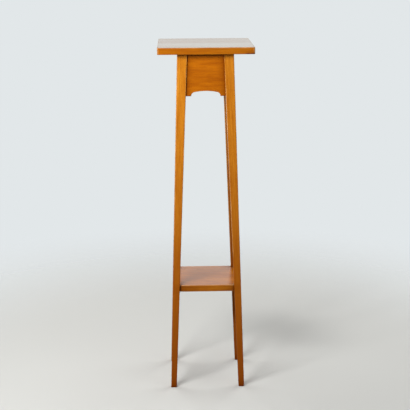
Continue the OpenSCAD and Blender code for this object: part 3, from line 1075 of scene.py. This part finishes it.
def lacquered_wood(name, wood):
    """Wood under old lacquer. wood holds its tones, its rings and how it was cut. masks holds
    the piece's notes and what the groups make of them, all by name."""
    material, mix, shader = new_material(name)
    masks = {note: mix.attribute(note) for note in ("edge", "nook", "end_grain", "bare")}
    grain, place = mix.attribute("grain", "Vector"), mix.object_place()
    if "joint" in wood:
        boards = {"Place": grain, "Joint": wood["joint"], "Step": wood["step"]}
        masks.update(mix.group(glued_boards, boards))
        grain = masks["Place"]
    # The foot mask: painted shade that grows towards the floor.
    if "foot" in wood:
        low = mix.ramp(mix.split(place)[2], *FOOT_SHADE_FADE, kind="LINEAR")
        masks["foot"] = mix.product(low, wood["foot"])
    figure = mix.group(wood_figure, {
        "Place": grain, "Pale": wood["pale"], "Dark": wood["dark"], "Late Wood": LATE_WOOD,
        "Ring Width": wood["ring"], "Waver": wood["waver"], "Lean": wood["lean"],
        "Late Amount": wood["late"], "Streak Amount": wood["streaks"]})
    masks.update(mix.group(old_lacquer, {
        "Place": place, "Grain": grain, "Wear": wood["wear"],
        "Edge": masks["edge"], "Nook": masks["nook"]}))
    relief = mix.total(masks["Height"], mix.product(figure["Pores"], -PORE_DEPTH),
                       mix.product(figure["Fibres"], FIBRE_DEPTH))
    mix.feed(shader, {
        "Base Color": wood_colour(mix, wood, figure, masks),
        **lacquer_gloss(mix, wood, masks),
        "Normal": mix.bumped(relief),
        "Specular IOR Level": wood["inner gloss"],
        "Coat Roughness": wood["coat rough"],
        "Coat IOR": COAT_IOR,
    })
    print("lacquered:", name)
    return material


PLAIN_WOOD = {"late": 0.35, "streaks": 1.2, "rough": 0.4, "rough edge": 0.0, "thin edge": 0.6,
              "inner gloss": 0.04, "coat rough": 0.18}
WOODS = {
    "top": {
        "pale": shade(190, 112, 3), "dark": shade(146, 73, 2),
        "second": shade(164, 84, 20), "joint": TOP_JOINT + TOP_LOG[1],
        "step": (0.37, -0.175, 0.013), "ring": 3.4 * MM, "waver": 14 * MM, "lean": 0.06,
        "streaks": 1.0, "wear": 0.55, "rough": 0.2, "rough edge": 0.25, "thin edge": 0.8,
        "inner gloss": 0.5,
    },
    "leg": {
        "pale": shade(218, 142, 36), "dark": shade(172, 94, 8),
        # foot is the share of the foot's painted shade.
        "ring": 2.6 * MM, "waver": 5 * MM, "lean": 0.012, "wear": 0.3, "foot": 1.0,
    },
    "apron": {
        "pale": shade(206, 119, 9), "dark": shade(146, 69, 2),
        "ring": 2.9 * MM, "waver": 12 * MM, "lean": 0.05, "late": 0.4, "wear": 0.4,
    },
    "shelf": {
        "pale": shade(197, 120, 19), "dark": shade(147, 75, 3),
        "ring": 3.1 * MM, "waver": 12 * MM, "lean": 0.05, "late": 0.45, "streaks": 1.3,
        "wear": 0.6, "rough": 0.25, "inner gloss": 0.11, "coat rough": 0.28,
    },
}
finishes = {slot: lacquered_wood(slot + " lacquer", {**PLAIN_WOOD, **wood})
            for slot, wood in WOODS.items()}

# %% [markdown]
# ## The hidden joinery
# The corner blocks, dowels and screws are never polished. The solids already have the
# right shape, so they stay and only get a material. Their patterns read the object
# coordinates, which are the stand's own. Sawn pine shows saw marks: faint, even ridges
# across its faces. A screw is turned steel, so its fine lines run round it, and old steel
# keeps a few brown spots.

# %% Finish the hidden joinery
DUST, DUST_TONE, DUST_SHARE = ((45.0, 45.0, 45.0), 4.0, 0.65), shade(120, 100, 80), 0.3
CLEAN_TO_DUSTY = (0.5, 0.8)
SAWN_FIBRE_LAYERS = (4.0, 0.6)
BAND_STRETCH, BAND, BAND_SHARE = 0.22, (0.5, 0.62), 0.45
SAW_MARKS_A_METRE = 900
SAWN_FIBRE_DEPTH = 4e-5
BARE_ROUGH, DUSTY_ROUGH = 0.62, 0.25
TURNED_LINES = ((900.0, 900.0, 5200.0), 3.0)
RUST_SPOTS, RUST = ((420.0, 420.0, 420.0), 5.0, 0.7), (0.56, 0.68)
STEEL_DARK, STEEL_PALE = shade(148, 148, 150), shade(196, 196, 198)
RUST_TONE, RUST_DEPTH = shade(104, 62, 34), 3e-5
STEEL_ROUGH, LINES_ROUGH, RUST_ROUGH = 0.3, 0.2, 0.4


def bare_wood(name, pale, dark, stretch, saw_depth=0.0):
    """Unfinished wood: two tones mixed by stretched noise, darker bands, dust, and a sine
    wave up the piece for the marks that the saw left."""
    material, mix, shader = new_material(name)
    place = mix.object_place()
    fibres = mix.noise(place, stretch, *SAWN_FIBRE_LAYERS)
    bands = mix.noise(place, tuple(BAND_STRETCH * lumps for lumps in stretch))
    dust = mix.ramp(mix.noise(place, *DUST), *CLEAN_TO_DUSTY)
    colour = mix.blend(fibres, dark, pale)
    colour = mix.blend(mix.product(mix.ramp(bands, *BAND), BAND_SHARE), colour, dark)
    turns = mix.product(mix.split(place)[2], 2 * np.pi * SAW_MARKS_A_METRE)
    height = mix.total(mix.product(fibres, SAWN_FIBRE_DEPTH),
                       mix.product(mix.maths("SINE", turns), saw_depth))
    mix.feed(shader, {
        "Base Color": mix.blend(mix.product(dust, DUST_SHARE), colour, DUST_TONE),
        "Roughness": mix.total(BARE_ROUGH, mix.product(dust, DUSTY_ROUGH)),
        "Normal": mix.bumped(height),
    })
    return material


def old_steel(name):
    """Dull steel with fine turned lines and a few spots of rust, which aren't metallic."""
    material, mix, shader = new_material(name)
    place = mix.object_place()
    lines = mix.noise(place, *TURNED_LINES)
    rust = mix.ramp(mix.noise(place, *RUST_SPOTS), *RUST)
    rough = mix.product(lines, LINES_ROUGH), mix.product(rust, RUST_ROUGH)
    mix.feed(shader, {
        "Base Color": mix.blend(rust, mix.blend(lines, STEEL_DARK, STEEL_PALE), RUST_TONE),
        "Metallic": mix.maths("SUBTRACT", 1.0, rust),
        "Roughness": mix.total(STEEL_ROUGH, *rough),
        "Normal": mix.bumped(mix.product(rust, RUST_DEPTH)),
    })
    return material


# The pale and the dark tone, how the fibres are stretched, and how deep the saw marks are.
pine = shade(214, 178, 124), shade(178, 132, 78), (700.0, 700.0, 60.0), 1.6e-5
birch = shade(212, 182, 138), shade(186, 146, 98), (40.0, 40.0, 900.0)
kept = {"corner_block": bare_wood("sawn pine", *pine), "dowels": bare_wood("turned birch", *birch),
        "top_screws": old_steel("old steel")}
for node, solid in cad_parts.items():
    for start, material in kept.items():
        if node.startswith(start):
            solid.data.materials.clear()
            solid.data.materials.append(material)
            print("kept:", node)

# %% [markdown]
# ## Put the pieces in place
# Each new piece gets its material, rides on the stand's one body and stands in for its solid, which
# is hidden.

# %% Put the pieces in place
def put_in_place(piece, node, slot):
    piece.data.materials.append(finishes[slot])
    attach(piece, "root")
    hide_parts(node)


put_in_place(top, "top_board", "top")
put_in_place(shelf, "shelf", "shelf")
for node, leg in legs.items():
    put_in_place(leg, node, "leg")
for node, apron in aprons.items():
    put_in_place(apron, node, "apron")

# %% [markdown]
# ## The floor
# The floor isn't part of the stand. It is a plain pale disc that takes the stand's shadow
# and turns transparent towards its rim, so that no edge shows from any side. A curved
# backdrop would hide the edge too, but only from the front. What the floor throws back on
# the stand is set darker than what the camera sees, or it would light the undersides.

# %% Lay the floor
FLOOR_R, FLOOR_POINTS = 3.2, 96
FLOOR_FADE = (0.6, 1.7)
FLOOR_TONE = shade(208, 208, 204)
FLOOR_BOUNCE = shade(140, 137, 130)
FLOOR_ROUGH, FLOOR_GLOSS = 0.9, 0.1


# Opacity falls from 1 to 0 between two distances from the middle.
angle = np.linspace(0, 2 * np.pi, FLOOR_POINTS, endpoint=False)
rim = np.stack([FLOOR_R * np.cos(angle), FLOOR_R * np.sin(angle), np.zeros_like(angle)], -1)
mesh = bpy.data.meshes.new("floor")
mesh.from_pydata(rim.tolist(), [], [list(range(FLOOR_POINTS))])
floor = add_object("floor", mesh)
material, mix, shader = new_material("pale floor")
seen = mix.out("LightPath", (), "Is Camera Ray")
mix.feed(shader, {"Base Color": mix.blend(seen, FLOOR_BOUNCE, FLOOR_TONE),
                  "Roughness": FLOOR_ROUGH, "Specular IOR Level": FLOOR_GLOSS})
distance = mix.out("VectorMath", {0: mix.object_place()}, "Value", operation="LENGTH")
shaders = {0: mix.ramp(distance, *FLOOR_FADE), 1: shader.outputs[0],
           2: mix.out("BsdfTransparent")}
mix.feed(material.node_tree.nodes["Material Output"], {"Surface": mix.out("MixShader", shaders)})
mesh.materials.append(material)
floor.visible_glossy = False
floor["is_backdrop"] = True
print("floor:", FLOOR_POINTS, "points round its rim")

# %% [markdown]
# ## The surroundings
# Lacquer shows what it mirrors as much as its own colour. So what it mirrors is set apart
# from what lights it: a pale backdrop that is brightest at eye level, and below that a dark
# tone in front and the floor's tone behind. A picture could be wrapped round the stand
# instead, but a few tones can be set one by one. The Light Path node tells which kind of
# ray is asking, and all rays but those of the camera and of gloss get an even, weak light.

# %% Set the surroundings
AMBIENT = 0.13
BACKDROP_TONE = shade(226, 231, 233)
BRIGHT_TONE = shade(232, 241, 237)
DARK_TONE = shade(48, 48, 50)
MIRRORED_FLOOR = shade(96, 88, 76)
EYE_LEVEL = (0.3, 0.05)
DOWN_TO_FLOOR = (-0.12, -0.3)
ROUND_TO_BACK = (0.4, 0.8)
UP_FROM_LEVEL = (0.0, 0.12)
SEES_BACKDROP = ("Is Camera Ray", "Is Glossy Ray", "Is Transmission Ray")


# The four pairs of numbers say where one tone gives way to the next along a ray's direction:
# how far from level, how far down, how far to the back (+Y) and how far up.
world = bpy.data.worlds.new("surroundings")
bpy.context.scene.world = world
world.use_nodes = True
mix = Recipe(world.node_tree)
ray = mix.node("ShaderNodeLightPath").outputs
_, back, rise = mix.split(mix.out("TexCoord", (), "Generated"))
level = mix.ramp(mix.maths("ABSOLUTE", rise), *EYE_LEVEL)
backdrop = mix.blend(level, BACKDROP_TONE, BRIGHT_TONE)
behind = mix.blend(mix.ramp(rise, *DOWN_TO_FLOOR), backdrop, MIRRORED_FLOOR)
low = mix.blend(mix.ramp(back, *ROUND_TO_BACK), DARK_TONE, behind)
mirrored = mix.blend(mix.ramp(rise, *UP_FROM_LEVEL), low, backdrop)
shown = mix.strongest(*(ray[name] for name in SEES_BACKDROP))
mix.feed(world.node_tree.nodes["Background"], {
    "Color": mix.blend(ray["Is Glossy Ray"], BACKDROP_TONE, mirrored),
    "Strength": mix.total(AMBIENT, mix.product(shown, 1 - AMBIENT)),
})
print("surroundings:", len(world.node_tree.nodes), "nodes")

# %% [markdown]
# ## The lamps
# The real legs are about three times as bright under the top as at the feet. Light falls
# off fast near its source, so the main one is a soft panel close by, in front and to the
# left, a little above the top. Two large panels behind keep the back and the sides
# readable, a weak one stands in front on the right, and one hangs overhead. The lacquer
# doesn't mirror the panels, because they would show in it as hard white patches.

# %% Set the lamps
# The columns are a panel's place, what it aims at, its width and height, and its watts.
PANELS = {
    "key panel": ((-0.83, -1.13, 1.25), (0.0, 0.0, 0.95), (0.8, 0.24), 29.0),
    "back left panel": ((-1.9, 1.7, 1.1), (0.0, 0.0, 0.6), (2.2, 2.2), 48.0),
    "back right panel": ((2.0, 1.5, 1.2), (0.0, 0.0, 0.6), (2.2, 2.2), 48.0),
    "front right panel": ((1.9, -1.6, 1.4), (0.0, 0.0, 0.6), (1.2, 1.2), 6.0),
    "overhead panel": ((0.0, 0.3, 3.2), (0.0, 0.0, 1.0), (1.6, 1.6), 12.0),
}


# An area lamp shines along its own -Z, so the panel is turned until that meets the aim.
for name, (at, aim, size, watts) in PANELS.items():
    lamp = bpy.data.lights.new(name, "AREA")
    lamp.shape = "RECTANGLE"
    lamp.size, lamp.size_y = size
    lamp.energy = watts
    panel = add_object(name, lamp)
    turn = (Vector(aim) - Vector(at)).to_track_quat("-Z", "Y").to_matrix().to_4x4()
    panel.matrix_world = Matrix.Translation(at) @ turn
    panel.visible_camera = False
    panel.visible_glossy = False
    print(name, "of", watts, "W")

bpy.context.scene.view_settings.view_transform = "Standard"

# %% [markdown]
# ## The size
# The far corners of both boxes are printed: the solids' and the dressed stand's. The
# dressed stand may not outgrow its solids.

# %% Print the size
new_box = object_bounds()
for name, box in (("solids", cad_box), ("dressed stand", new_box)):
    print(name, "reach", [round(value, 4) for value in box[1]])
